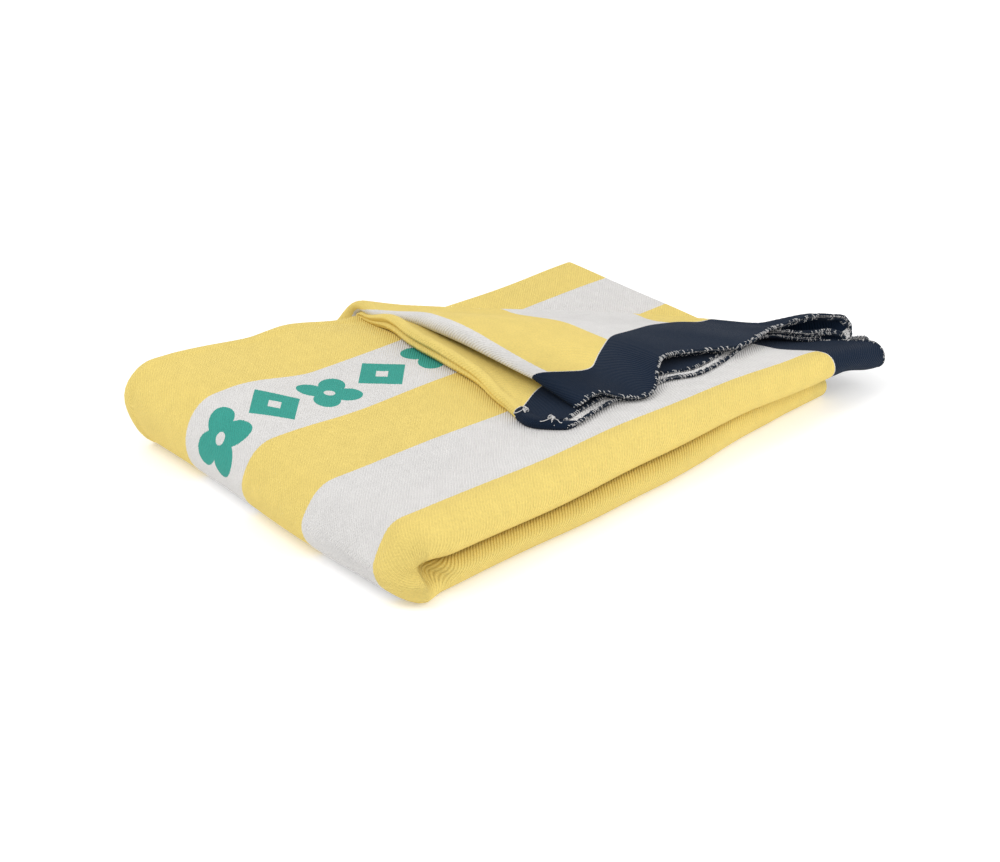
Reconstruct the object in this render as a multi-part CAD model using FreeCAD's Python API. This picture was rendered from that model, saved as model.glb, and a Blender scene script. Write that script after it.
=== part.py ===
"""Folded beach towel: one striped cotton cloth folded into a stack of leaves.

The cloth is folded in half end to end, then in thirds along its width, then in
half again as a book, and the far corner of the upper half is turned back.
Every layer of the stack is a leaf with its own level.  Leaves run from level 0,
against the book fold's axis, to level 5, the striped face seen from outside.
"""
import FreeCAD, Part
import math
import os

# Driving dimensions, mm
CLOTH = 3.4            # thickness of one leaf
PITCH = 25.0 / 6       # height from one leaf to the next
LEVELS = 6             # leaves in each half of the book
WIDTH = 304.0          # folded width, along Y
BOOK_END = -12.6       # left end of the stack, at the outside of the book fold
LOWER_END = 425.0      # right end of the lower half
UPPER_END = 476.0      # right end of the upper half, at its near side
BAND = 57.0            # width of the dark woven end band
THREAD = 3.0           # width of the overlocked edge beyond the band
THREAD_PROUD = 0.15    # the overlocked edge is this much thicker on each side
CREASE = 468.0         # the corner is turned back over the line x + y = CREASE
TURNED_END = 423.0     # cloth end of the corner, measured before it is turned
NEAR_TUCK = 30.0       # free edge of the inner third, inside the near fold
FAR_FREE = 3.0         # free edges of the outer third stop this short of the far side
JOINT_GAP = 0.35       # clearance between leaves of two bodies

# Values that follow
BOOK_X = BOOK_END + (LEVELS - 0.5) * PITCH + CLOTH / 2
BOOK_Z = (LEVELS - 0.5) * PITCH + CLOTH / 2
CREASE_Z = BOOK_Z + LEVELS * PITCH
NEAR_BEND_Y = 2.5 * PITCH + CLOTH / 2
FAR_BEND_Y = WIDTH - 1.5 * PITCH - CLOTH / 2
FREE_EDGE_Y = WIDTH - FAR_FREE
BAND_BEND_Y = NEAR_BEND_Y + JOINT_GAP
ORIGIN = FreeCAD.Vector((BOOK_END + UPPER_END + THREAD) / 2, WIDTH / 2, 0)
REACH = 900.0
ROOT_HALF = math.sqrt(0.5)
CREASE_AXIS = FreeCAD.Vector(ROOT_HALF, -ROOT_HALF, 0)
CREASE_OUT = FreeCAD.Vector(ROOT_HALF, ROOT_HALF, 0)
BOOK_AXIS = FreeCAD.Vector(0, -1, 0)


def height(level):
    """Distance of a leaf's middle from the book fold's axis."""
    return (level + 0.5) * PITCH


def ribbon(path, x, up=1, extra=0.0):
    """Cross-section of one leaf, as a face across X.

    path holds (y, height) pairs.  Each two are the ends of a flat, and flats are
    joined by half-round bends.  up is 1 in the upper half and -1 in the lower.
    """
    half = CLOTH / 2 + extra

    def point(y, h):
        return FreeCAD.Vector(x, y, BOOK_Z + up * h)

    def side(sign):
        edges = []
        for i in range(0, len(path), 2):
            (y0, h0), (y1, h1) = path[i], path[i + 1]
            way = 1 if y1 > y0 else -1
            shift = sign * way * half
            start, end = point(y0, h0 + shift), point(y1, h1 + shift)
            edges.append((start, end))
            if i + 2 < len(path):
                h2 = path[i + 2][1]
                turn = 1 if (h2 - h1) * way > 0 else -1
                radius = abs(h2 - h1) / 2 - sign * turn * half
                middle = point(y1 + way * radius, (h1 + h2) / 2)
                edges.append((end, middle, point(y1, h2 - shift)))
        return edges

    forward = side(1)
    back = [tuple(reversed(e)) for e in reversed(side(-1))]
    loop = forward + [(forward[-1][-1], back[0][0])] + back
    loop.append((back[-1][-1], forward[0][0]))
    shapes = []
    for e in loop:
        curve = Part.Arc(*e) if len(e) == 3 else Part.LineSegment(*e)
        shapes.append(curve.toShape())
    return Part.Face(Part.Wire(shapes))


def run(path, x0, x1, up=1, extra=0.0):
    """One leaf's cross-section carried along X."""
    return ribbon(path, x0, up, extra).extrude(FreeCAD.Vector(x1 - x0, 0, 0))


def crease_side(beyond):
    """Everything on one side of the upright plane through the crease."""
    sign = 1 if beyond else -1
    near = FreeCAD.Vector(CREASE / 2, CREASE / 2, -REACH)
    along = CREASE_AXIS * REACH
    away = CREASE_OUT * (sign * REACH)
    corners = [near - along, near + along, near + along + away, near - along + away]
    wire = Part.makePolygon(corners + corners[:1])
    return Part.Face(wire).extrude(FreeCAD.Vector(0, 0, 2 * REACH))


def near_roll():
    """The space of the near side's rounded fold, which stays clear of the crease."""
    corner = FreeCAD.Vector(0, -WIDTH, -REACH)
    return Part.makeBox(REACH, WIDTH + NEAR_BEND_Y, 2 * REACH, corner)


def flat_lying(shape):
    """Keep what the crease leaves lying in the upper half."""
    return shape.common(crease_side(False).fuse(near_roll())).Solids[0]


def turned(shape):
    """Fold a piece of the strip back over the crease."""
    out = shape.common(crease_side(True)).Solids[0].copy()
    out.rotate(FreeCAD.Vector(CREASE / 2, CREASE / 2, CREASE_Z), CREASE_AXIS, 180)
    return out


def crease_bend(level, y0, y1):
    """Half-round bend of one leaf over the crease, between two places along it."""
    z = BOOK_Z + height(level)
    low, high = z - CLOTH / 2, z + CLOTH / 2
    corners = [(y0, low), (y1, low), (y1, high), (y0, high), (y0, low)]
    points = [FreeCAD.Vector(CREASE - y, y, h) for y, h in corners]
    face = Part.Face(Part.makePolygon(points))
    centre = FreeCAD.Vector(CREASE, 0, CREASE_Z)
    return face.revolve(centre, CREASE_AXIS, 180)


def end_fold(low_level, y0, y1):
    """Half-round bend that joins two neighbouring leaves at the lower half's end."""
    inner, outer = PITCH / 2 - CLOTH / 2, PITCH / 2 + CLOTH / 2
    x = LOWER_END - outer
    z = BOOK_Z - height(low_level) - PITCH / 2
    ring = []
    for r, flip in ((outer, 1), (inner, -1)):
        top = FreeCAD.Vector(x, y0, z + flip * r)
        mid = FreeCAD.Vector(x + r, y0, z)
        bottom = FreeCAD.Vector(x, y0, z - flip * r)
        ring.append((top, mid, bottom))
    edges = [Part.Arc(*ring[0]).toShape(), Part.Arc(*ring[1]).toShape()]
    edges.append(Part.LineSegment(ring[0][2], ring[1][0]).toShape())
    edges.append(Part.LineSegment(ring[1][2], ring[0][0]).toShape())
    face = Part.Face(Part.Wire(Part.__sortEdges__(edges)))
    return face.extrude(FreeCAD.Vector(0, y1 - y0, 0))


def save(name, shape):
    shape = shape.copy()
    shape.translate(ORIGIN * -1)
    shape.exportStep("parts/" + name + ".step")


# Cross-sections of the cloth, folded in thirds.  The outside leaf is the outer
# face of the doubled cloth and the inside leaf lies within it.
outside_leaf = [
    (NEAR_TUCK, height(3)), (FAR_BEND_Y, height(3)),
    (FAR_BEND_Y, height(0)), (NEAR_BEND_Y, height(0)),
    (NEAR_BEND_Y, height(5)), (FREE_EDGE_Y, height(5)),
]
inside_leaf = [
    (NEAR_TUCK, height(2)), (FAR_BEND_Y, height(2)),
    (FAR_BEND_Y, height(1)), (NEAR_BEND_Y, height(1)),
    (NEAR_BEND_Y, height(4)), (FREE_EDGE_Y, height(4)),
]
leaves = {"outside": outside_leaf, "inside": inside_leaf}

os.makedirs("parts", exist_ok=True)

band_start = UPPER_END - BAND
turned_band_start = TURNED_END - BAND
fold_start = LOWER_END - PITCH / 2 - CLOTH / 2
book_centre = FreeCAD.Vector(BOOK_X, 0, BOOK_Z)

for side_name, section in leaves.items():
    # Both halves of the book, and the bend that joins them
    save("lower_" + side_name + "_leaf", run(section, BOOK_X, fold_start, up=-1))
    upper = run(section, BOOK_X + JOINT_GAP, band_start)
    save("upper_" + side_name + "_leaf", flat_lying(upper))
    bend = ribbon(section, BOOK_X).revolve(book_centre, BOOK_AXIS, 180)
    save("book_bend_" + side_name + "_leaf", bend)

    # Dark band and overlocked end at the near side, which is not turned
    wrap = section[2:]
    save("near_band_" + side_name, flat_lying(run(wrap, band_start, UPPER_END)))
    edge = run(wrap, UPPER_END, UPPER_END + THREAD, extra=THREAD_PROUD)
    save("near_overlock_" + side_name, edge.common(near_roll()).Solids[0])

    # The turned corner: two thirds joined by the far fold, and the loose third
    for group, path in (("fold", section[:4]), ("lap", section[4:])):
        name = group + "_" + side_name
        save("corner_" + name, turned(run(path, BOOK_X, turned_band_start)))
        band = run(path, turned_band_start, TURNED_END)
        save("corner_band_" + name, turned(band))
        edge = run(path, TURNED_END, TURNED_END + THREAD, extra=THREAD_PROUD)
        save("corner_overlock_" + name, turned(edge))

# Bends that join the doubled cloth at the lower half's end
save("end_fold_middle_third", end_fold(0, NEAR_BEND_Y, FAR_BEND_Y))
save("end_fold_inner_third", end_fold(2, NEAR_TUCK, FAR_BEND_Y))
save("end_fold_outer_third", end_fold(4, NEAR_BEND_Y, FREE_EDGE_Y))

# Bends of each leaf over the turned corner's crease, plain cloth and dark band
crease_band_y = CREASE - band_start
for level in range(LEVELS):
    radius = CREASE_Z - BOOK_Z - height(level) + CLOTH / 2
    far_y = FAR_BEND_Y - radius * ROOT_HALF
    save("crease_bend_%d" % level, crease_bend(level, crease_band_y, far_y))
    save("crease_band_%d" % level, crease_bend(level, BAND_BEND_Y, crease_band_y))
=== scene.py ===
import math

import bpy
import numpy as np
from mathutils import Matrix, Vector


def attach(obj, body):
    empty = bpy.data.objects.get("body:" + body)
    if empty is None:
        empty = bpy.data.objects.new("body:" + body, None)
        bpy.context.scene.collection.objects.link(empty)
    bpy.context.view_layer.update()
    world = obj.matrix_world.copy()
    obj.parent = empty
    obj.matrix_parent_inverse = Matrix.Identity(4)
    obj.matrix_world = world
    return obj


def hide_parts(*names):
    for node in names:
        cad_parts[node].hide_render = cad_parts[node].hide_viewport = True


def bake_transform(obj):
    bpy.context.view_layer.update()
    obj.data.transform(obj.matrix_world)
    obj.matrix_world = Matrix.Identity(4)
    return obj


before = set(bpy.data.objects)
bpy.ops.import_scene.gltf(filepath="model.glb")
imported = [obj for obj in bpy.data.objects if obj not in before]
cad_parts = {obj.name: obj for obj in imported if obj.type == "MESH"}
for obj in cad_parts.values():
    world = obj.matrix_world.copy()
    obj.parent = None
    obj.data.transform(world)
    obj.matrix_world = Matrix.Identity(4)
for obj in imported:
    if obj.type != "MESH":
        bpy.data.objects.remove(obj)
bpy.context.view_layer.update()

# ---------------------------------------------------------------------------
# Folded towel, in millimetres of the fold's own plan: x from the book fold to
# the cloth's ends, y from the rounded near side to the far side, z up.
# ---------------------------------------------------------------------------
ORIGIN_X = 233.2                # the frame's origin in this plan
ORIGIN_Y = 152.0
MM = 0.001                      # metres in one millimetre

CLOTH_WIDTH = 900.0
CLOTH_LENGTH = 1800.0
DOUBLED = CLOTH_LENGTH / 2      # length once it is folded end to end
STRIPE = CLOTH_WIDTH / 13
BAND = 57.0                     # dark woven band at each cut end
THICK = 2.0                     # thickness of the cloth
HEM = 9.0                       # width of the rolled hem along each long side
HEM_THICK = 4.4                 # and its thickness

HALF = 25.0                     # height of each half of the book
PITCH = 24.0 / 5.5              # height from one leaf to the next
NEAR_Y = 12.3                   # where the near side's round bends start
FAR_Y = 296.0                   # where the far side's round bends start
FREE_Y = 296.2                  # free edge of the outer third
TUCK_Y = 12.0                   # free edge of the inner third
LOWER_END = 426.0               # right end of the lower half
BOOK_X = 12.0                   # axis of the book fold
MIDDLE_Y = 150.0                # middle of the stack's width, on the book fold

DRIFT = 28.0                    # how far the stripes run to one side near the cut ends

CREASE = 489.0                  # the corner is turned back over x + y = CREASE
SQUEEZE = 0.5                   # how thin the stack is pressed at the crease
FOLD_WRAP = 34.0                # cloth that goes round the crease, in the upper two thirds
LAP_WRAP = 6.0                  # and in the loose lower third
PAD = 4.0                       # cloth on both sides that bends with the crease

UPPER_RUN = 444.0               # cloth in the upper half, from the dark end
BOOK_RUN = 24.0 * math.pi       # cloth in the book fold
END_RUN = 3.4                   # cloth in half of the fold at the lower half's end
LOWER_RUN = DOUBLED - UPPER_RUN - BOOK_RUN


def step(t, lo=0.0, hi=1.0):
    """Ease from 0 at lo to 1 at hi."""
    t = np.clip((t - lo) / (hi - lo), 0, 1)
    return t * t * (3 - 2 * t)


def bump(t, centre, width):
    """1 at the centre, fading out on both sides."""
    return np.exp(-(((t - centre) / width) ** 2))


def level(k):
    """Distance of leaf k's middle from the book fold's axis."""
    return (k + 0.5) * PITCH


# ---------------------------------------------------------------------------
# The cloth folded in thirds: place across the cloth -> (y, height) in the strip
# ---------------------------------------------------------------------------
# outer third, near bend, middle third, far bend and inner third: where each starts,
# and how many cells of the grid it has
KNOTS = [0.0, 284.1, 311.5, 595.2, 608.9, CLOTH_WIDTH]
CELLS = [95, 14, 95, 12, 97]
HEM_REACH = HEM + 1.0           # the cells are smaller up to here
HEM_CELLS = 8


def across_samples():
    """Places across the cloth, closer together over the two hems."""
    ends = [KNOTS[0], HEM_REACH] + KNOTS[1:-1] + [CLOTH_WIDTH - HEM_REACH, CLOTH_WIDTH]
    cells = [HEM_CELLS, CELLS[0] - HEM_CELLS] + CELLS[1:-1] + [CELLS[-1] - HEM_CELLS, HEM_CELLS]
    parts = [np.linspace(a, b, n + 1)[:-1] for a, b, n in zip(ends, ends[1:], cells)]
    return np.append(np.concatenate(parts), CLOTH_WIDTH)


V = across_samples()
ZONE = np.clip(np.searchsorted(KNOTS, V, side="right") - 1, 0, len(CELLS) - 1)
FRAC = (V - np.array(KNOTS)[ZONE]) / np.diff(KNOTS)[ZONE]

# levels of (outer, middle, inner) third in each leaf of the doubled cloth
LEAF_LEVELS = {0: (5, 0, 3), 1: (4, 1, 2)}
LAP_GAP = 5.4                   # from the half's outside to the lap's other leaf


def section(leaf, far_extra):
    """(y, h) across the cloth; far_extra widens the strip's far side."""
    outer, middle, inner = (level(k) for k in LEAF_LEVELS[leaf])
    far = FAR_Y + far_extra
    near_mid, near_r = (outer + middle) / 2, (outer - middle) / 2
    far_mid, far_r = (inner + middle) / 2, (inner - middle) / 2
    a = FRAC * math.pi
    zones = (
        (FREE_Y - V, outer),
        (NEAR_Y - near_r * np.sin(a), near_mid + near_r * np.cos(a)),
        (NEAR_Y + FRAC * (far - NEAR_Y), middle),
        (far + far_r * np.sin(a), far_mid - far_r * np.cos(a)),
        (far + FRAC * (TUCK_Y - far), inner),
    )
    y = np.zeros_like(V)
    h = np.zeros_like(V)
    for k, (zone_y, zone_h) in enumerate(zones):
        y = np.where(ZONE == k, zone_y, y)
        h = np.where(ZONE == k, zone_h, h)
    return y, h


def lap_weight():
    """1 in the outer third, 0 in the other two, easing through the near bend."""
    return np.where(ZONE == 0, 1.0, np.where(ZONE == 1, 1 - step(FRAC), 0.0))


LAP = lap_weight()

# ---------------------------------------------------------------------------
# Along the doubled cloth: distance s from the dark end, through the upper half,
# the book bend and the lower half to the fold at the lower half's end
# ---------------------------------------------------------------------------
N_UPPER = 148                   # cells in the upper half
N_BOOK = N_UPPER + 18           # and with the book bend
N_LOWER = N_BOOK + 132          # and with the lower half
N_LAST = N_LOWER + 5            # and with the fold at its end


def along_samples():
    """Places along the doubled cloth, closer together where it folds."""
    upper = np.linspace(0, UPPER_RUN, N_UPPER + 1)
    book = UPPER_RUN + np.linspace(0, BOOK_RUN, N_BOOK - N_UPPER + 1)[1:]
    lower = UPPER_RUN + BOOK_RUN + np.linspace(0, LOWER_RUN - END_RUN, N_LOWER - N_BOOK + 1)[1:]
    last = DOUBLED - END_RUN + np.linspace(0, END_RUN, N_LAST - N_LOWER + 1)[1:]
    return np.concatenate([upper, book, lower, last])


S = along_samples()


def dark_end(leaf):
    """Where the leaf's dark end lies along the strip, before the corner turns."""
    y, _ = section(leaf, 0.0)
    lap_end = 476.0 - 26.0 * step(y, 16, 44) - 2.0 * step(y, 44, 95)
    fold_end = 474.0 - 6.0 * step(y, 20, 90)
    return LAP * lap_end + (1 - LAP) * fold_end


def turned_height(h, lap, squeeze, loft, inside, x):
    """Height of the turned corner where it lies on the upper half."""
    top = HALF + HALF * loft
    fold_loft = squeeze + (1 - squeeze) * step(inside, 0, 90)
    lap_loft = squeeze + 0.12 * step(inside, 0, 90)
    lift = 2.0 * step(inside, 30, 120) * step(x, 300, 190)
    z_fold = top + (HALF - h) * fold_loft + lift
    # the lap's hem rises off the cloth below
    near_hem = (1 - step(V, 4, 34))[None, :] * step(inside, 0, 40)
    hem_rise = 2.2 + 4.4 * np.clip((HALF - h) / LAP_GAP, 0, 1)
    z_lap = top + (HALF - h) * lap_loft + 0.8 + near_hem * hem_rise
    return lap * z_lap + (1 - lap) * z_fold


def upper_place(leaf, s):
    """The upper half with its turned corner, for s in the upper run."""
    ns = len(s)
    lap = np.tile(LAP, (ns, 1))
    u = BOOK_X + (1 - s[:, None] / UPPER_RUN) * (dark_end(leaf)[None, :] - BOOK_X)
    # the part that turns is wider at its far side, and its lap slides out there
    far_extra = 16.0 * step(u[:, 0], 110, 240)
    y = np.zeros_like(u)
    h = np.zeros_like(u)
    for i in range(ns):
        y[i], h[i] = section(leaf, far_extra[i])
    y = y + lap * 22.0 * step(u, 180, 300) * step(y, 100, 296)

    p = (u + y - CREASE) / math.sqrt(2)
    t = (u - y) / math.sqrt(2)
    wrap = lap * LAP_WRAP + (1 - lap) * FOLD_WRAP
    # the stack is squeezed along the crease, less at both its ends
    squeeze = SQUEEZE + 0.09 * step(-t, 30, 90) + 0.12 * step(t, 250, 325)
    radius = (HALF - h) * squeeze

    back = np.minimum(p, 0)                 # lying in the upper half
    turned = np.maximum(p - wrap, 0)        # lying on top, after the crease
    inside = np.where(p > 0, turned, -back)

    phi = np.clip(p / wrap, 0, 1) * math.pi
    pp = np.where(p <= 0, p, np.where(p < wrap, radius * np.sin(phi), -turned))
    x3 = CREASE / 2 + (t + pp) / math.sqrt(2)
    y3 = CREASE / 2 + (pp - t) / math.sqrt(2)

    loft = squeeze + (1 - squeeze) * step(inside, 0, 55)
    z_under = HALF + h * loft
    z_arc = HALF + HALF * squeeze - radius * np.cos(phi)
    z_over = turned_height(h, lap, squeeze, loft, inside, x3)
    z3 = np.where(p <= 0, z_under, np.where(p < wrap, z_arc, z_over))
    x3, y3, z3 = shape_end(s, x3, y3, z3, h, lap, p, wrap)
    return np.stack([x3, y3, z3], -1), p, wrap


# The dark end of the turned corner, as (x, y, z) along its edge and along the
# band's inner line, for the upper two thirds and for the lower one
FOLD_EDGE = [(188, 43, 61), (197, 46, 60), (214, 48, 64), (232, 42, 54), (247, 33, 52.5),
             (262, 38, 54), (280, 54, 61), (293, 62, 63.5), (325, 54, 61), (353, 46, 58.5),
             (371, 48, 57.5), (400, 56, 55.5), (412, 60, 55)]
FOLD_BAND = [(188, 100, 68), (196, 92, 68.5), (208, 76, 70), (224, 65, 69), (250, 84, 67.5),
             (282, 105, 65), (330, 112, 58), (382, 100, 53), (412, 95, 52)]
LAP_EDGE = [(150, 44, 51.5), (163, 41, 51.5), (172, 38, 52), (182, 35, 52), (207, 39, 53),
            (240, 44, 52.5), (267, 43, 51.5), (280, 47, 51.5), (307, 37, 51.5), (333, 41, 51.2),
            (361, 50, 50), (385, 58, 47.5), (400, 62, 45.5)]
LAP_BAND = [(163, 82, 52), (176, 70, 52.5), (190, 78, 53), (204, 89, 53), (260, 98, 51.5),
            (330, 98, 49.5), (360, 98, 46), (382, 98, 43), (400, 98, 42)]
BAND_ROW = 19                   # row of samples at the band's inner line

# How the lap's free corner slants in, as (y, shift in x)
LAP_CORNER = [(30, 8), (42, -4), (53, -15), (65, -19), (81, -12), (106, -8), (132, 0), (300, 0)]

# The flared end of the topmost leaves at the crease's near end, as (distance past
# the crease's start, x, y, z)
WING = [(-8, 466, 8, 27), (0, 464, 17, 30), (8, 467, 28, 39), (16, 472, 34, 48), (24, 470, 40, 55),
        (34, 451, 49, 59), (48, 428, 57, 57), (62, 412, 60, 54)]

# places either side that smoothed() averages over
RUFFLE_REACH = (-8, -5, -2.5, 0, 2.5, 5, 8)
CORNER_REACH = (-8, 0, 8)


def from_table(table, t, column):
    """One column of a table where its first column is t, between its rows."""
    return np.interp(t, [row[0] for row in table], [row[column] for row in table])


def smoothed(table, t, column, reach):
    """The same, averaged over nearby places."""
    return np.mean([from_table(table, t + o, column) for o in reach], axis=0)


def raise_wing(s, P, past, m, lap):
    """Flare the dark end of the two topmost leaves where it meets the crease."""
    q = past[0]
    weight = (1 - lap[0]) * step(m[0], 0.4, 0.6) * step(q, -10, 6) * (1 - step(q, 44, 62))
    inner = np.clip((1 - m[0]) / 0.33, 0, 1)
    fade = (1 - step(s, 0, 75))[:, None]
    for axis, offset in ((0, -1.2), (1, 0.4), (2, -2.0)):
        goal = from_table(WING, q, axis + 1) + inner * offset
        P[axis] += fade * (weight * (goal - P[axis][0]))[None, :]
    return P


def shape_end(s, x, y, z, h, lap, past, wrap):
    """Move the turned corner's dark end to its ruffled lines."""
    turned = np.maximum(past - wrap, 0)
    m = np.clip((HALF - h - 9.7) / 13.1, 0, 1)      # 1 in the topmost leaf, 0 in the fourth
    low = np.clip((HALF - h) / LAP_GAP, 0, 1)       # 1 in the upper leaf of the lap
    moved = [x.copy(), y.copy(), z.copy()]
    at_end = 1 - np.clip(s / BAND, 0, 1)[:, None]
    at_band = np.where(s < BAND, s / BAND, 1 - step(s, BAND, 150))[:, None]
    near = step(turned, 0, 28)
    for axis, now in ((1, y), (2, z)):
        for row, weight, fold_table, lap_table, fold_gap, lap_gap in (
            (0, at_end, FOLD_EDGE, LAP_EDGE, (8.0, -5.8), (8.0, 1.9)),
            (BAND_ROW, at_band, FOLD_BAND, LAP_BAND, (2.0, -6.0), (3.0, 1.9)),
        ):
            gap, lap_rise = fold_gap[axis - 1], lap_gap[axis - 1]
            fold_goal = smoothed(fold_table, x[row], axis, RUFFLE_REACH) + (1 - m[row]) * gap
            lap_goal = smoothed(lap_table, x[row], axis, RUFFLE_REACH) + low[row] * lap_rise
            goal = lap[row] * lap_goal + (1 - lap[row]) * fold_goal
            moved[axis] += weight * near * (goal - now[row])[None, :]
    slant = smoothed(LAP_CORNER, moved[1], 1, CORNER_REACH)
    moved[0] = x + lap * slant * near * step(x, 250, 185)
    return raise_wing(s, moved, past, m, lap)


def book_place(leaf, s):
    """The half-round bend of the book fold."""
    phi = (s - UPPER_RUN) / BOOK_RUN * math.pi
    y, h = section(leaf, 0.0)
    x3 = BOOK_X - h[None, :] * np.sin(phi)[:, None]
    z3 = HALF + h[None, :] * np.cos(phi)[:, None]
    y3 = np.tile(y, (len(s), 1))
    return np.stack([x3, y3, z3], -1)


def lower_place(leaf, s):
    """The lower half, and the half-round fold that joins the two leaves."""
    y, h = section(leaf, 0.0)
    yo, ho = section(1 - leaf, 0.0)
    half_gap = np.hypot(y - yo, h - ho) / 2
    end_x = LOWER_END - half_gap - 1.0
    run = np.clip((s - UPPER_RUN - BOOK_RUN) / (LOWER_RUN - END_RUN), 0, 1)
    turn = np.clip((s - (DOUBLED - END_RUN)) / END_RUN, 0, 1) * math.pi / 2
    x3 = BOOK_X + run[:, None] * (end_x[None, :] - BOOK_X)
    x3 = x3 + np.sin(turn)[:, None] * half_gap[None, :]
    mix = (1 - np.cos(turn))[:, None] / 2
    y3 = y[None, :] * (1 - mix) + yo[None, :] * mix
    h3 = h[None, :] * (1 - mix) + ho[None, :] * mix
    return np.stack([x3, y3, HALF - h3], -1)


# How far the near side's two rolls stand out, the lower and the upper one, as
# (x, shift in y)
NEAR_LINE = [(-13, -5), (6, -18), (22, -13), (60, -11), (173, -8), (234, -5.5), (280, -1),
             (328, 6), (379, 12), (427, 14)]
ROLL_LINE = [(-13, -2), (12, -9), (30, -12), (60, -11), (120, -9), (190, -6), (270, -2), (330, 0)]


def soften(P):
    """Slow unevenness of a soft stack, the same for every leaf."""
    x, y, z = P[..., 0], P[..., 1], P[..., 2]
    lift = np.clip(z / HALF, 0, 1)
    dz = 0.9 * np.sin(x / 47 + 1.3) * np.sin(y / 61 + 0.4)
    dz += 0.6 * np.sin(x / 23 - y / 31)
    dy = 0.9 * np.sin(x / 38 + z / 19) + 0.6 * np.sin(x / 17 + 2.0)
    dx = 0.9 * np.sin(y / 41 + z / 23)
    edge = step(np.abs(y - MIDDLE_Y), 60, 140)
    # steadier along the crease
    dz *= 1 - 0.8 * bump((x + y - CREASE) / math.sqrt(2), 0, 30) * step(z, 20, 30)
    Q = P.copy()
    Q[..., 0] += dx * lift * 0.6
    Q[..., 1] += dy * edge * 0.6
    Q[..., 2] += dz * lift
    # plumper at the book fold's far corner
    Q[..., 2] *= 1 + 0.30 * (1 - step(x, 25, 100)) * step(y, 120, 260)
    Q[..., 2] *= 1 + 0.08 * step(x, 30, 90) * (1 - step(x, 120, 190)) * step(y, 200, 290)
    # thinner towards the ends' side, where the lower half's roll sits further in
    Q[..., 2] *= 1 - 0.13 * step(x, 240, 430) * (1 - step(y, 60, 200))
    # the lower roll's line
    under = 1 - step(z, 18, 30)
    Q[..., 1] += from_table(NEAR_LINE, x, 1) * under * (1 - step(y, 20, 120))
    # the upper roll hangs out over the lower one
    fuller = from_table(ROLL_LINE, x, 1)
    Q[..., 1] += fuller * bump(z, 34, 13) * (1 - step(z, 40, 56)) * (1 - step(y, 15, 60))
    Q[..., 2] -= 5.0 * bump(z, 25, 13) * (1 - step(y, 15, 70)) * (1 - step(x, 200, 400))
    # the hollow at the book fold's near corner, between the two rolls
    Q[..., 1] += 19.0 * bump(x, 17, 9) * bump(z, 19, 7) * (1 - step(y, 15, 50))
    # the dark end of the near roll hangs below the upper half
    Q[..., 2] -= 9.0 * step(x, 428, 470) * (1 - step(z, 24, 46)) * (1 - step(y, 40, 90))
    # the book fold bulges, low at its near side and high at its far side
    end = 1 - step(x, 0, 60)
    Q[..., 0] -= 5.0 * end * bump(y, 90, 75) * (1 - step(z, 20, 40))
    Q[..., 0] -= 5.0 * end * step(y, 200, 300) * bump(z, 36, 16)
    # the far side and the crease stand out a little
    Q[..., 1] += 4.0 * step(y, 230, 300) * step(z, 10, 40)
    outward = step((x + y - CREASE) / math.sqrt(2), -70, 0) * step(z, 20, 34)
    outward *= 1 - step(x, 380, 450)
    Q[..., 0] += 4.0 * outward
    Q[..., 1] += 4.0 * outward
    # the near side's dark end is rounded off
    beyond = np.maximum(x - 464, 0) * (1 - step(z, 44, 52))
    Q[..., 0] += 15.0 * np.tanh(beyond / 15.0) - beyond
    return Q


def leaf_sheet(leaf):
    """Positions of one leaf of the doubled cloth, and its crease distance."""
    up, p, wrap = upper_place(leaf, S[: N_UPPER + 1])
    book = book_place(leaf, S[N_UPPER + 1: N_BOOK + 1])
    low = lower_place(leaf, S[N_BOOK + 1:])
    P = soften(np.concatenate([up, book, low]))
    over = np.full(P.shape[:2], -999.0)
    over[: N_UPPER + 1] = p
    return P, over, wrap[0]


def normals(P, sign):
    """Unit normals of a leaf, on the side of the cloth's front."""
    du = np.gradient(P, axis=0)
    dv = np.gradient(P, axis=1)
    n = np.cross(du, dv) * sign
    return n / np.maximum(np.linalg.norm(n, axis=-1, keepdims=True), 1e-9)


def thickness(over, wrap):
    """Cloth thickness: rolled at the two side hems, fullest along the turned lap."""
    edge = np.minimum(V, CLOTH_WIDTH - V)
    across = np.clip((edge - HEM / 2) / (HEM / 2), -1, 1)
    rolled = np.sqrt(1 - across ** 2)[None, :]
    full = HEM_THICK + 2.2 * step(over - wrap[None, :], 0, 30) * LAP[None, :]
    t = THICK + (full - THICK) * rolled
    return t - 1.3 * (1 - step(edge, 0, 1.6))[None, :]


def to_frame(P):
    """From the fold's plan to the shared frame."""
    Q = P.copy()
    Q[..., 0] -= ORIGIN_X
    Q[..., 1] -= ORIGIN_Y
    return Q * MM


def make_mesh(name, verts, faces, uv, material, reverse=None):
    """A smooth mesh object with its cloth coordinates in the UV map."""
    mesh = bpy.data.meshes.new(name)
    mesh.vertices.add(len(verts))
    mesh.vertices.foreach_set("co", verts.astype(np.float32).ravel())
    faces = np.asarray(faces, np.int32)
    mesh.loops.add(faces.size)
    mesh.loops.foreach_set("vertex_index", faces.ravel())
    mesh.polygons.add(len(faces))
    width = faces.shape[1]
    mesh.polygons.foreach_set("loop_start", np.arange(len(faces), dtype=np.int32) * width)
    mesh.update(calc_edges=True)
    mesh.polygons.foreach_set("use_smooth", np.ones(len(faces), bool))
    layer = mesh.uv_layers.new(name="flat")
    layer.data.foreach_set("uv", uv[faces.ravel()].astype(np.float32).ravel())
    if reverse is not None:
        attribute = mesh.attributes.new("reverse", "FLOAT", "POINT")
        attribute.data.foreach_set("value", reverse.astype(np.float32))
    mesh.materials.append(material)
    obj = bpy.data.objects.new(name, mesh)
    bpy.context.scene.collection.objects.link(obj)
    return obj


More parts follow.
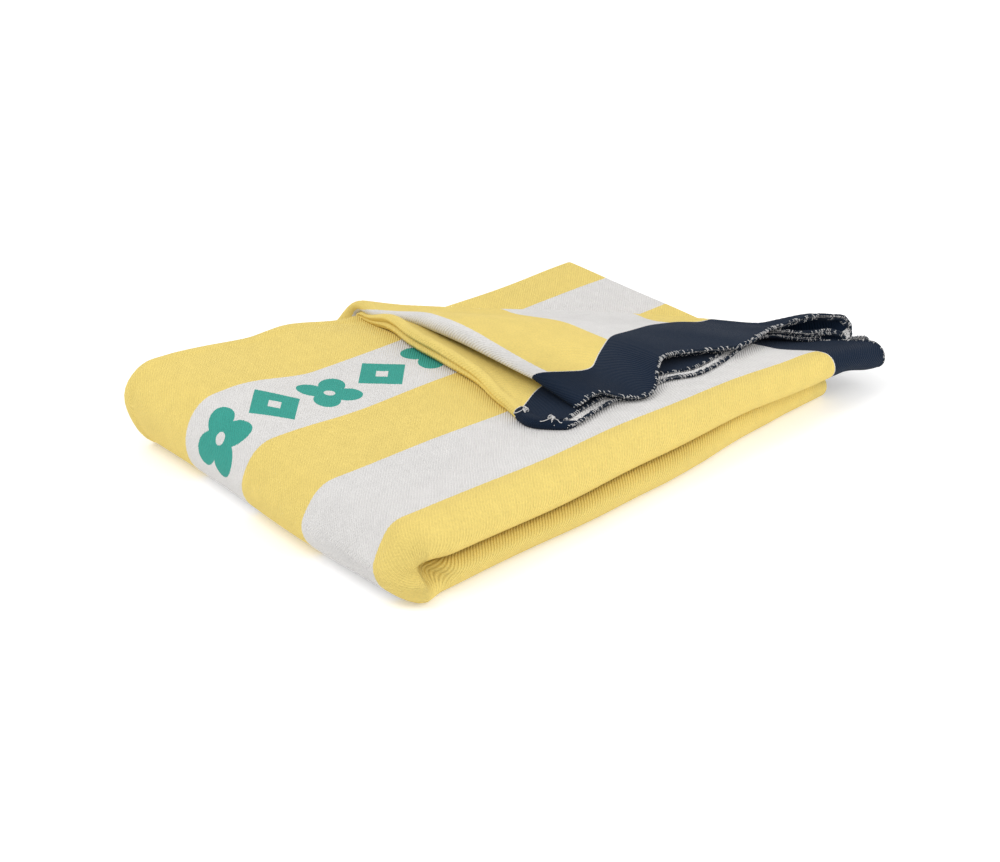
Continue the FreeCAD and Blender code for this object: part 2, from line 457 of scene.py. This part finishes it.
def mark_rim(obj, rim_pairs):
    """Sharp edges where the skins meet the rim."""
    mesh = obj.data
    sharp = mesh.attributes.new("sharp_edge", "BOOLEAN", "EDGE")
    edges = np.zeros(len(mesh.edges) * 2, np.int32)
    mesh.edges.foreach_get("vertices", edges)
    edges = np.sort(edges.reshape(-1, 2), axis=1)
    key = edges[:, 0].astype(np.int64) * len(mesh.vertices) + edges[:, 1]
    pairs = np.sort(rim_pairs, axis=1)
    wanted = pairs[:, 0].astype(np.int64) * len(mesh.vertices) + pairs[:, 1]
    sharp.data.foreach_set("value", np.isin(key, wanted))


def cloth_piece(name, P, N, T, flat_s, cells, front_out, material):
    """A closed piece of cloth from the cells of a leaf's grid."""
    ns, nv = P.shape[:2]
    top = P + N * T[:, :, None] / 2
    bottom = P - N * T[:, :, None] / 2
    i, j = np.nonzero(cells)
    a, b = i * nv + j, i * nv + j + 1
    c, d = (i + 1) * nv + j + 1, (i + 1) * nv + j
    quads = np.stack([a, b, c, d], 1)
    if front_out:
        quads = quads[:, ::-1]
    # the underside uses the same grid, offset by its own vertices
    offset = ns * nv
    under = quads[:, ::-1] + offset
    padded = np.pad(cells, 1)
    rims = []
    for di, dj, e0, e1 in ((0, -1, d, a), (0, 1, b, c), (-1, 0, a, b), (1, 0, c, d)):
        open_side = ~padded[i + 1 + di, j + 1 + dj]
        p0, p1 = e0[open_side], e1[open_side]
        rims.append(np.stack([p0, p1], 1))
    rim = np.concatenate(rims)
    wall = np.stack([rim[:, 1], rim[:, 0], rim[:, 0] + offset, rim[:, 1] + offset], 1)
    if front_out:
        wall = wall[:, ::-1]
    faces = np.concatenate([quads, under, wall])
    used, inverse = np.unique(faces.ravel(), return_inverse=True)
    verts = np.concatenate([top.reshape(-1, 3), bottom.reshape(-1, 3)])[used]
    # near the cut ends, the stripes beyond the near bend run off to one side
    from_end = np.minimum(flat_s, CLOTH_LENGTH - flat_s)
    drift = DRIFT * (1 - step(from_end, 190, 330))[:, None] * step(V, 311, 452)[None, :]
    grid_s = np.repeat(flat_s, nv)
    grid_v = np.minimum(V[None, :] + drift, CLOTH_WIDTH).ravel()
    uv = np.stack([grid_s, grid_v], 1) * MM
    uv = np.concatenate([uv, uv])[used]
    reverse = np.concatenate([np.zeros(offset), np.ones(offset)])[used]
    obj = make_mesh(name, to_frame(verts), inverse.reshape(faces.shape), uv, material, reverse)
    lookup = np.full(offset * 2, -1)
    lookup[used] = np.arange(len(used))
    pairs = np.concatenate([lookup[rim], lookup[rim + offset]])
    mark_rim(obj, pairs)
    return obj


# ---------------------------------------------------------------------------
# Materials
# ---------------------------------------------------------------------------
class Graph:
    """A material and short ways to add nodes to it."""

    def __init__(self, name):
        self.material = bpy.data.materials.new(name)
        self.material.use_nodes = True
        self.tree = self.material.node_tree
        self.tree.nodes.clear()

    def node(self, kind, **settings):
        """Add a node with its settings."""
        made = self.tree.nodes.new(kind)
        for key, value in settings.items():
            setattr(made, key, value)
        return made

    def put(self, socket, value):
        """Link another socket to this one, or set its value."""
        if isinstance(value, bpy.types.NodeSocket):
            self.tree.links.new(value, socket)
        else:
            socket.default_value = value

    def math(self, operation, a, b=0.0, c=0.0):
        made = self.node("ShaderNodeMath", operation=operation)
        for socket, value in zip(made.inputs, (a, b, c)):
            self.put(socket, value)
        return made.outputs[0]

    def between(self, value, lo, hi):
        above = self.math("GREATER_THAN", value, lo)
        below = self.math("LESS_THAN", value, hi)
        return self.math("MULTIPLY", above, below)

    def mix(self, factor, a, b):
        made = self.node("ShaderNodeMix", data_type="RGBA")
        self.put(made.inputs[0], factor)
        self.put(made.inputs[6], a)
        self.put(made.inputs[7], b)
        return made.outputs[2]

    def scaled(self, colour, shade):
        """A colour made lighter or darker."""
        made = self.node("ShaderNodeVectorMath", operation="SCALE")
        self.put(made.inputs[0], colour)
        self.put(made.inputs["Scale"], shade)
        return made.outputs[0]

    def noise(self, vector, scale, detail=2.0, rough=0.5):
        made = self.node("ShaderNodeTexNoise")
        self.put(made.inputs["Vector"], vector)
        made.inputs["Scale"].default_value = scale
        made.inputs["Detail"].default_value = detail
        made.inputs["Roughness"].default_value = rough
        return made.outputs["Fac"]

    def finish(self, colour, roughness, height=None, distance=0.0004, sheen=0.0):
        shader = self.node("ShaderNodeBsdfPrincipled")
        self.put(shader.inputs["Base Color"], colour)
        self.put(shader.inputs["Roughness"], roughness)
        shader.inputs["Specular IOR Level"].default_value = 0.15
        shader.inputs["Sheen Weight"].default_value = sheen
        shader.inputs["Sheen Roughness"].default_value = 0.5
        if height is not None:
            made = self.node("ShaderNodeBump")
            made.inputs["Strength"].default_value = 1.0
            made.inputs["Distance"].default_value = distance
            self.put(made.inputs["Height"], height)
            self.put(shader.inputs["Normal"], made.outputs["Normal"])
        out = self.node("ShaderNodeOutputMaterial")
        self.put(out.inputs["Surface"], shader.outputs["BSDF"])
        return self.material


YELLOW = (0.785, 0.61, 0.18, 1)
WHITE = (0.695, 0.68, 0.665, 1)
NAVY = (0.005, 0.014, 0.033, 1)
TEAL = (0.045, 0.33, 0.27, 1)

# Sizes in the pattern, in metres
TWILL = 0.0024                  # from one twill line to the next, along the cloth
FLOAT = 0.0022                  # from one to the next of the lines that cross them
WANDER = 0.0016                 # how far a woven edge wanders
EDGE = 0.0005                   # keeps a wandering edge within the cloth
MOTIF_PITCH = 0.049
PETAL_IN, PETAL_OUT = 0.0135, 0.0245
BLOSSOM_HOLE = 0.0042
LOZENGE_HOLE, LOZENGE = 0.0065, 0.0235
WHITE_LINE = 0.0007             # light line between the cloth and its band

MOTIFS = 10                     # from each end, which reach the book fold


def motif_shape(g, s_edge, v_edge):
    """A row of four-petalled blossoms and lozenges on one white stripe."""
    cell = g.math("DIVIDE", s_edge, MOTIF_PITCH)
    cx = g.math("MULTIPLY", g.math("SUBTRACT", g.math("FRACT", cell), 0.5), MOTIF_PITCH)
    cy = g.math("SUBTRACT", v_edge, 1.5 * STRIPE * MM)
    which = g.math("FLOORED_MODULO", g.math("FLOOR", cell), 2.0)
    angle = g.math("ARCTAN2", cy, cx)
    radius = g.math("SQRT", g.math("ADD", g.math("MULTIPLY", cx, cx), g.math("MULTIPLY", cy, cy)))
    petals = g.math("ABSOLUTE", g.math("SINE", g.math("MULTIPLY", angle, 2.0)))
    petal_edge = g.math("MULTIPLY_ADD", petals, PETAL_OUT - PETAL_IN, PETAL_IN)
    blossom = g.between(radius, BLOSSOM_HOLE, petal_edge)
    diamond_r = g.math("ADD", g.math("MULTIPLY", g.math("ABSOLUTE", cx), 1.05), g.math("ABSOLUTE", cy))
    lozenge = g.between(diamond_r, LOZENGE_HOLE, LOZENGE)
    shape = g.math("ADD", g.math("MULTIPLY", blossom, which),
                   g.math("MULTIPLY", lozenge, g.math("SUBTRACT", 1.0, which)))
    return g.math("MULTIPLY", shape, g.between(v_edge, STRIPE * MM, 2 * STRIPE * MM))


def pattern(g, uv, s_edge, v_edge, back):
    """Stripes, motifs and the dark bands, as a colour."""
    front = g.math("SUBTRACT", 1.0, back)
    from_end = g.math("MINIMUM", s_edge, g.math("SUBTRACT", CLOTH_LENGTH * MM, s_edge))

    stripe = g.math("FLOOR", g.math("DIVIDE", v_edge, STRIPE * MM))
    odd = g.math("FLOORED_MODULO", stripe, 2.0)
    colour = g.mix(odd, YELLOW, WHITE)

    on_row = g.math("LESS_THAN", from_end, MOTIFS * MOTIF_PITCH)
    motif = g.math("MULTIPLY", motif_shape(g, s_edge, v_edge), on_row)
    colour = g.mix(g.math("MULTIPLY", motif, front), colour, TEAL)

    # dark woven band at both ends, behind one light line
    line = g.math("LESS_THAN", from_end, BAND * MM + WHITE_LINE)
    band = g.math("LESS_THAN", from_end, BAND * MM)
    colour = g.mix(line, colour, WHITE)
    colour = g.mix(g.math("MULTIPLY", band, front), colour, NAVY)
    specks = g.math("GREATER_THAN", g.noise(uv, 1100.0), 0.64)
    back_specks = g.math("MULTIPLY", g.math("MULTIPLY", band, back), specks)
    return g.mix(back_specks, colour, NAVY)


def towel_cloth():
    """The woven cloth, by its place along (s) and across (v) the flat towel."""
    g = Graph("towel_cloth")
    uv = g.node("ShaderNodeUVMap", uv_map="flat").outputs["UV"]
    split = g.node("ShaderNodeSeparateXYZ")
    g.put(split.inputs[0], uv)
    s, v = split.outputs[0], split.outputs[1]
    reverse = g.node("ShaderNodeAttribute", attribute_name="reverse").outputs["Fac"]

    # the hems are rolled, so both their sides show the cloth's front
    in_body = g.between(v, HEM * MM, (CLOTH_WIDTH - HEM) * MM)
    back = g.math("MULTIPLY", g.math("GREATER_THAN", reverse, 0.5), in_body)

    # twill lines run diagonally across the cloth
    along = g.math("ADD", s, v)
    diagonal = g.math("SUBTRACT", s, v)
    ribs = g.math("SINE", g.math("MULTIPLY", diagonal, 2 * math.pi / TWILL))
    floats = g.math("SINE", g.math("MULTIPLY", along, 2 * math.pi / FLOAT))
    weave = g.math("MULTIPLY_ADD", g.math("MULTIPLY", ribs, floats), 0.25, ribs)
    grain = g.noise(uv, 900.0, 2.0, 0.6)
    patch = g.noise(uv, 90.0, 3.0, 0.6)
    slow = g.noise(uv, 14.0, 3.0, 0.6)

    # woven edges wander by less than a thread
    wander = g.math("MULTIPLY_ADD", g.noise(uv, 1400.0), WANDER, -WANDER / 2)
    s_edge = g.math("ADD", s, wander)
    v_edge = g.math("MAXIMUM", g.math("ADD", v, wander), EDGE)
    v_edge = g.math("MINIMUM", v_edge, CLOTH_WIDTH * MM - EDGE)
    colour = pattern(g, uv, s_edge, v_edge, back)

    # heathered yarn, with painted shade and painted highlight along the twill ribs
    shade = g.math("MULTIPLY_ADD", grain, 0.34, 0.83)
    shade = g.math("MULTIPLY", shade, g.math("MULTIPLY_ADD", patch, 0.16, 0.92))
    shade = g.math("MULTIPLY", shade, g.math("MULTIPLY_ADD", slow, 0.08, 0.96))
    # painted shade in the twill ribs' grooves and painted highlight on their crests, in step with the
    # bump
    shade = g.math("MULTIPLY", shade, g.math("MULTIPLY_ADD", ribs, 0.035, 1.0))
    roughness = g.math("MULTIPLY_ADD", grain, 0.15, 0.78)
    height = g.math("MULTIPLY_ADD", grain, 0.9, g.math("MULTIPLY", weave, 0.45))
    return g.finish(g.scaled(colour, shade), roughness, height, 0.00045, 0.03)


def thread_material(name, main, other, share):
    """Yarn of one colour, blotted with the other where the noise is above share."""
    g = Graph(name)
    uv = g.node("ShaderNodeUVMap", uv_map="flat").outputs["UV"]
    fibre = g.noise(uv, 2600.0, 3.0, 0.7)
    blot = g.math("GREATER_THAN", g.noise(uv, 900.0, 1.0), share)
    colour = g.scaled(g.mix(blot, main, other), g.math("MULTIPLY_ADD", fibre, 0.7, 0.6))
    return g.finish(colour, g.math("MULTIPLY_ADD", fibre, 0.2, 0.7), fibre, 0.0003, 0.05)


cloth = towel_cloth()
light_thread = thread_material("overlock_light", (0.70, 0.69, 0.68, 1), (0.015, 0.028, 0.05, 1), 0.47)
dark_thread = thread_material("overlock_dark", (0.01, 0.018, 0.035, 1), (0.5, 0.5, 0.5, 1), 0.6)
white_thread = thread_material("thread_white", (0.74, 0.73, 0.72, 1), (0.4, 0.4, 0.42, 1), 0.7)

# ---------------------------------------------------------------------------
# Build the pieces
# ---------------------------------------------------------------------------
LEAF_NAME = {0: "outside", 1: "inside"}
areas = []


def point(x, y, z):
    """A place in the fold's plan, as a point of the frame."""
    return ((x - ORIGIN_X) * MM, (y - ORIGIN_Y) * MM, z * MM)


def blend_over_crease(obj):
    """Bake the transform of a piece that lies between the upper half and the corner into its mesh."""
    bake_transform(obj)


def declare_sheet(P, cells):
    """Area in square metres of the part of the cloth that a piece was cut from."""
    i, j = np.nonzero(cells)
    one, two = P[i + 1, j + 1] - P[i, j], P[i + 1, j] - P[i, j + 1]
    area = float(np.sum(np.linalg.norm(np.cross(one, two), axis=1))) / 2 * MM * MM
    return area


def build_leaf(leaf):
    """One leaf of the doubled cloth, cut into pieces that follow their bodies."""
    P, over, wrap = leaf_sheet(leaf)
    # the outside leaf's front faces out of the book, the inside leaf's faces in
    front_out = leaf == 0
    N = normals(P, 1 if front_out else -1)
    T = thickness(over, wrap)
    flat_s = S if front_out else CLOTH_LENGTH - S
    name = LEAF_NAME[leaf]
    rows, cols = P.shape[0] - 1, P.shape[1] - 1
    row = np.arange(rows)[:, None] * np.ones((1, cols), int)
    # how far each cell lies past the crease's start
    centre = (over[:-1, :-1] + over[1:, 1:]) / 2
    cell_wrap = (wrap[:-1] + wrap[1:]) / 2

    def add(suffix, cells):
        obj = cloth_piece(name + "_" + suffix, P, N, T, flat_s, cells, front_out, cloth)
        areas.append(declare_sheet(P, cells))
        return obj

    # the first columns of the outer, near bend, middle, far bend and inner zones
    zone_start = np.cumsum([0] + CELLS)
    column = np.arange(cols)[None, :]
    upper = row < N_UPPER
    foldable = upper & ((column < zone_start[1]) | (column >= zone_start[2]))
    crease = foldable & (centre > -PAD) & (centre < cell_wrap[None, :] + PAD)
    turned = foldable & (centre >= cell_wrap[None, :] + PAD)
    lying = upper & ~crease & ~turned
    book = (row >= N_UPPER) & (row < N_BOOK)
    lower = row >= N_BOOK

    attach(add("lower", lower), "lower_half")
    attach(add("upper", lying), "upper_half")
    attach(add("corner", turned), "turned_corner")

    outer, middle, inner = (level(k) for k in LEAF_LEVELS[leaf])
    for part, c0, c1, h in (
        ("outer", zone_start[0], zone_start[2], outer),
        ("inner", zone_start[2], zone_start[5], (middle + inner) / 2),
    ):
        columns = (column >= c0) & (column < c1)
        piece = add("book_" + part, book & columns)
        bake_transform(piece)
        piece = add("crease_" + part, crease & columns)
        blend_over_crease(piece)
    return P, N, over, wrap


def tube(points, radius, sides=5):
    """Vertices and faces of a tube along points."""
    tangent = np.gradient(points, axis=0)
    tangent /= np.maximum(np.linalg.norm(tangent, axis=1, keepdims=True), 1e-9)
    ref = np.where(np.abs(tangent[:, 2:3]) < 0.8, [[0.0, 0.0, 1.0]], [[1.0, 0.0, 0.0]])
    n1 = np.cross(tangent, ref)
    n1 /= np.maximum(np.linalg.norm(n1, axis=1, keepdims=True), 1e-9)
    n2 = np.cross(tangent, n1)
    a = np.arange(sides) / sides * 2 * math.pi
    ring = n1[:, None, :] * np.cos(a)[None, :, None] + n2[:, None, :] * np.sin(a)[None, :, None]
    verts = (points[:, None, :] + ring * np.asarray(radius).reshape(-1, 1, 1)).reshape(-1, 3)
    i = np.arange(len(points) - 1)[:, None] * sides
    j = np.arange(sides)[None, :]
    k = (j + 1) % sides
    faces = np.stack([i + j, i + k, i + sides + k, i + sides + j], -1).reshape(-1, 4)
    return verts, faces


class Strands:
    """Tubes of thread gathered into one mesh."""

    def __init__(self, sides):
        self.sides = sides
        self.verts, self.faces, self.uv = [], [], []
        self.count = 0

    def add(self, path, radius, uv):
        verts, faces = tube(path, radius, self.sides)
        self.verts.append(verts)
        self.faces.append(faces + self.count)
        self.uv.append(np.repeat(np.stack(uv, 1), self.sides, axis=0))
        self.count += len(verts)

    def build(self, name, material):
        obj = make_mesh(name, to_frame(np.concatenate(self.verts)), np.concatenate(self.faces),
                        np.concatenate(self.uv), material)
        return obj


LOOP_PITCH = 1.8                # from one loop of the overlock to the next
LOOP_STEPS = 12                 # samples in one loop
SHORTEST_RUN = 4                # samples in the shortest run of thread that is kept
YARN = 0.0002                   # metres of the yarn's texture in one radian of a loop


def overlock(leaf, P, N, over, wrap):
    """Thread looped round the cloth's cut end, in runs that follow their body."""
    edge, normal = P[0], N[0]
    inward = P[1] - P[0]
    inward -= normal * np.sum(inward * normal, 1, keepdims=True)
    inward /= np.linalg.norm(inward, axis=1, keepdims=True)
    loops = CLOTH_WIDTH / LOOP_PITCH
    n = int(loops * LOOP_STEPS)
    v = np.linspace(0.5, CLOTH_WIDTH - 0.5, n)
    rng = np.random.default_rng(7 + leaf)
    jitter = np.repeat(rng.normal(0, 1, int(loops) + 2), LOOP_STEPS)[:n]
    # how far each loop reaches onto the cloth, and how far it stands off it
    deep = 2.4 + 0.7 * jitter
    tall = THICK / 2 + 0.2 + 0.12 * np.abs(jitter)

    def sample(a):
        return np.stack([np.interp(v, V, a[:, k]) for k in range(3)], 1)

    reach = np.interp(v, V, over[0] - wrap)
    start = np.interp(v, V, over[0])
    groups = {
        "corner": reach > PAD,
        "crease": (reach <= PAD) & (start > -PAD),
        "upper": start <= -PAD,
    }
    for shade, phase, radius, material in (
        ("light", 0.0, 0.28, light_thread), ("dark", math.pi, 0.32, dark_thread),
    ):
        theta = np.arange(n) / LOOP_STEPS * 2 * math.pi + phase
        path = sample(edge) + sample(inward) * (deep * 0.5 - 0.7 - deep * 0.62 * np.cos(theta))[:, None]
        path = path + sample(normal) * (tall * np.sin(theta))[:, None]
        for group, mask in groups.items():
            # whole runs of neighbouring samples
            index = np.nonzero(mask)[0]
            if len(index) < 2 * SHORTEST_RUN:
                continue
            strands = Strands(5)
            for run in np.split(index, np.nonzero(np.diff(index) > 1)[0] + 1):
                if len(run) >= SHORTEST_RUN:
                    strands.add(path[run], radius, (theta[run] * YARN, v[run] * MM))
            obj = strands.build("overlock_" + LEAF_NAME[leaf] + "_" + group + "_" + shade, material)
            if group == "corner":
                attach(obj, "turned_corner")
            elif group == "upper":
                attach(obj, "upper_half")
            else:
                blend_over_crease(obj)


def thread_ends(places):
    """Knots and loose ends of the overlock, as (place, size of the knot's loops)."""
    rng = np.random.default_rng(21)
    strands = Strands(6)

    def strand(path, radius):
        turn = np.linspace(0, 0.02, len(path))
        strands.add(path, radius, (turn, turn * 0.3))

    for place, size in places:
        # a tangle of small loops
        for _ in range(5):
            a = np.linspace(0, 2.2 * math.pi, 26)
            axis = rng.normal(0, 1, 3)
            axis /= np.linalg.norm(axis)
            side = np.cross(axis, [0.3, 0.2, 0.9])
            side /= np.linalg.norm(side)
            other = np.cross(axis, side)
            middle = place + rng.normal(0, 0.7, 3) + [0, 0, 1.6]
            loop = side * np.cos(a)[:, None] + other * np.sin(a)[:, None]
            strand(middle + loop * size, 0.34)
        # loose ends
        for way in rng.normal(0, 1, (2, 2)):
            a = np.linspace(0, 1, 14)
            way = way / np.linalg.norm(way)
            path = np.stack([way[0] * a * 8 + np.sin(a * 6) * 1.2,
                             way[1] * a * 8 + np.cos(a * 5) * 1.2,
                             1.4 + np.sin(a * 4) * 0.8], 1)
            strand(place + path, 0.26)
    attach(strands.build("thread_ends", white_thread), "turned_corner")


for leaf in LEAF_NAME:
    P, N, over, wrap = build_leaf(leaf)
    overlock(leaf, P, N, over, wrap)
# the inside leaf's thread ends, at the lap's free corner and where its band starts
thread_ends(((P[2, 3] + [0, 0, 1.2], 1.9), (P[BAND_ROW - 4, 5] + [0, 0, 2.4], 1.6)))

print("cloth area", round(sum(areas), 3), "of", CLOTH_WIDTH * CLOTH_LENGTH * MM * MM)

# each visible piece and how the names of the nodes that it stands for start
REPLACED = {
    "outside_lower": ("lower_", "end_fold_"),
    "outside_book_outer": ("book_bend_",),
    "outside_upper": ("upper_", "near_band_"),
    "outside_crease_inner": ("crease_",),
    "outside_corner": ("corner_fold", "corner_lap", "corner_band_"),
    "overlock_outside_crease_light": ("near_overlock_",),
    "overlock_outside_corner_light": ("corner_overlock_",),
}
for shown_name, starts in REPLACED.items():
    nodes = [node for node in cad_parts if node.startswith(starts)]
    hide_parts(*nodes)

# ---------------------------------------------------------------------------
# Floor, camera and light
# ---------------------------------------------------------------------------
def add_floor():
    """A plain pale floor that glows a little."""
    g = Graph("floor")
    coords = g.node("ShaderNodeTexCoord").outputs["Object"]
    pale = g.mix(g.noise(coords, 40.0, 3.0), (0.88, 0.88, 0.88, 1), (0.92, 0.92, 0.92, 1))
    material = g.finish(pale, 0.9)
    shader = next(n for n in g.tree.nodes if n.type == "BSDF_PRINCIPLED")
    shader.inputs["Emission Color"].default_value = (1, 1, 1, 1)
    shader.inputs["Emission Strength"].default_value = 0.22
    bpy.ops.mesh.primitive_plane_add(size=8, location=(0, 0, 0))
    floor = bpy.context.object
    floor.name = "floor"
    floor.data.materials.append(material)


YAW = math.radians(48.37)
PITCH_DOWN = math.radians(27.15)
TARGET = (204.0, 140.25, 0)     # in the fold's plan
DISTANCE = 1.5916               # from the camera to the target, in metres
LENS = 77.4
SENSOR = 36.0


def add_camera():
    """A camera at the book fold's near corner, looking down on the stack."""
    forward = Vector((math.cos(PITCH_DOWN) * math.cos(YAW),
                      math.cos(PITCH_DOWN) * math.sin(YAW), -math.sin(PITCH_DOWN)))
    data = bpy.data.cameras.new("camera")
    data.lens = LENS
    data.sensor_width = SENSOR
    camera = bpy.data.objects.new("camera", data)
    bpy.context.scene.collection.objects.link(camera)
    camera.location = Vector(point(*TARGET)) - forward * DISTANCE
    camera.rotation_euler = forward.to_track_quat("-Z", "Y").to_euler()
    bpy.context.scene.camera = camera


def soft_light(name, place, size, power):
    """A square light that faces the towel."""
    data = bpy.data.lights.new(name, "AREA")
    data.shape = "SQUARE"
    data.size = size
    data.energy = power
    light = bpy.data.objects.new(name, data)
    bpy.context.scene.collection.objects.link(light)
    light.location = place
    light.rotation_euler = (-Vector(place)).to_track_quat("-Z", "Y").to_euler()


add_floor()
add_camera()
soft_light("key", (-0.9, 0.5, 1.5), 1.2, 12.5)
soft_light("fill", (0.9, -1.3, 1.0), 1.6, 14)

world = bpy.data.worlds.new("studio")
world.use_nodes = True
world.node_tree.nodes["Background"].inputs[0].default_value = (1, 1, 1, 1)
world.node_tree.nodes["Background"].inputs[1].default_value = 0.75
bpy.context.scene.world = world
bpy.context.scene.view_settings.view_transform = "Standard"
